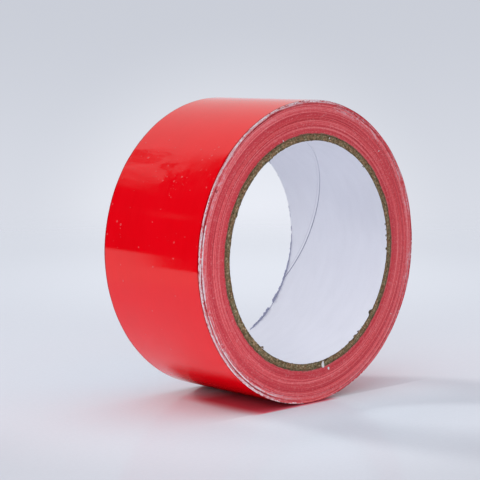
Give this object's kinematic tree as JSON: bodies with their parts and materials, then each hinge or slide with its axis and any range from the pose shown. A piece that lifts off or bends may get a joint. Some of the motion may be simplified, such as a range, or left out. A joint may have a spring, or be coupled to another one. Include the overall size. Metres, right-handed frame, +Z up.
{
  "type": "adhesive tape roll",
  "caption": "Roll of wide glossy red adhesive tape on a white-lined spiral-wound cardboard core, standing on its rim, with a free end that peels away.",
  "frame": {"origin": "centre of the roll, on its axis and halfway along its width", "axes": "+Y along the roll's axis, from the near side face to the far one; +Z up with the roll standing on its rim; +X towards the side where the free end lies"},
  "size_m": [0.1037, 0.048, 0.1038],
  "materials": {
    "red_film": "glossy film",
    "turn_edges": "slit film edges, satin",
    "grey_board": "fibrous board",
    "white_paper": "matt coated paper"
  },
  "bodies": {
    "roll": {"core_liner": "white_paper", "core_board_ply_1": "grey_board", "core_board_ply_2": "grey_board", "core_board_ply_3": "grey_board", "core_board_ply_4": "grey_board", "tape_wound_pack": "turn_edges", "tape_slack_turns": "turn_edges", "tape_top_turn": "red_film"},
    "free_end_1": {"free_end_1": "red_film"},
    "free_end_2": {"free_end_2": "red_film"},
    "free_end_3": {"free_end_3": "red_film"},
    "free_end_4": {"free_end_4": "red_film"},
    "free_end_5": {"free_end_5": "red_film"},
    "free_end_6": {"free_end_6": "red_film"},
    "free_end_7": {"free_end_7": "red_film"},
    "free_end_8": {"free_end_8": "red_film"}
  },
  "joints": [
    {"name": "peel_1", "type": "hinge", "parent": "roll", "child": "free_end_1", "pos_m": [0.01194, 0, 0.05053], "axis": [0, -1, 0], "range_deg": [0, 20]},
    {"name": "peel_2", "type": "hinge", "parent": "free_end_1", "child": "free_end_2", "pos_m": [0.01843, 0, 0.04854], "axis": [0, -1, 0], "range_deg": [0, 20]},
    {"name": "peel_3", "type": "hinge", "parent": "free_end_2", "child": "free_end_3", "pos_m": [0.02461, 0, 0.04573], "axis": [0, -1, 0], "range_deg": [0, 20]},
    {"name": "peel_4", "type": "hinge", "parent": "free_end_3", "child": "free_end_4", "pos_m": [0.03037, 0, 0.04213], "axis": [0, -1, 0], "range_deg": [0, 20]},
    {"name": "peel_5", "type": "hinge", "parent": "free_end_4", "child": "free_end_5", "pos_m": [0.03561, 0, 0.0378], "axis": [0, -1, 0], "range_deg": [0, 20]},
    {"name": "peel_6", "type": "hinge", "parent": "free_end_5", "child": "free_end_6", "pos_m": [0.04024, 0, 0.03283], "axis": [0, -1, 0], "range_deg": [0, 20]},
    {"name": "peel_7", "type": "hinge", "parent": "free_end_6", "child": "free_end_7", "pos_m": [0.04419, 0, 0.0273], "axis": [0, -1, 0], "range_deg": [0, 20]},
    {"name": "peel_8", "type": "hinge", "parent": "free_end_7", "child": "free_end_8", "pos_m": [0.04737, 0, 0.0213], "axis": [0, -1, 0], "range_deg": [0, 20]}
  ],
  "couplings": [
    {"joint": "peel_2", "follows": "peel_1", "ratio": 1},
    {"joint": "peel_3", "follows": "peel_1", "ratio": 1},
    {"joint": "peel_4", "follows": "peel_1", "ratio": 1},
    {"joint": "peel_5", "follows": "peel_1", "ratio": 1},
    {"joint": "peel_6", "follows": "peel_1", "ratio": 1},
    {"joint": "peel_7", "follows": "peel_1", "ratio": 1},
    {"joint": "peel_8", "follows": "peel_1", "ratio": 1}
  ]
}
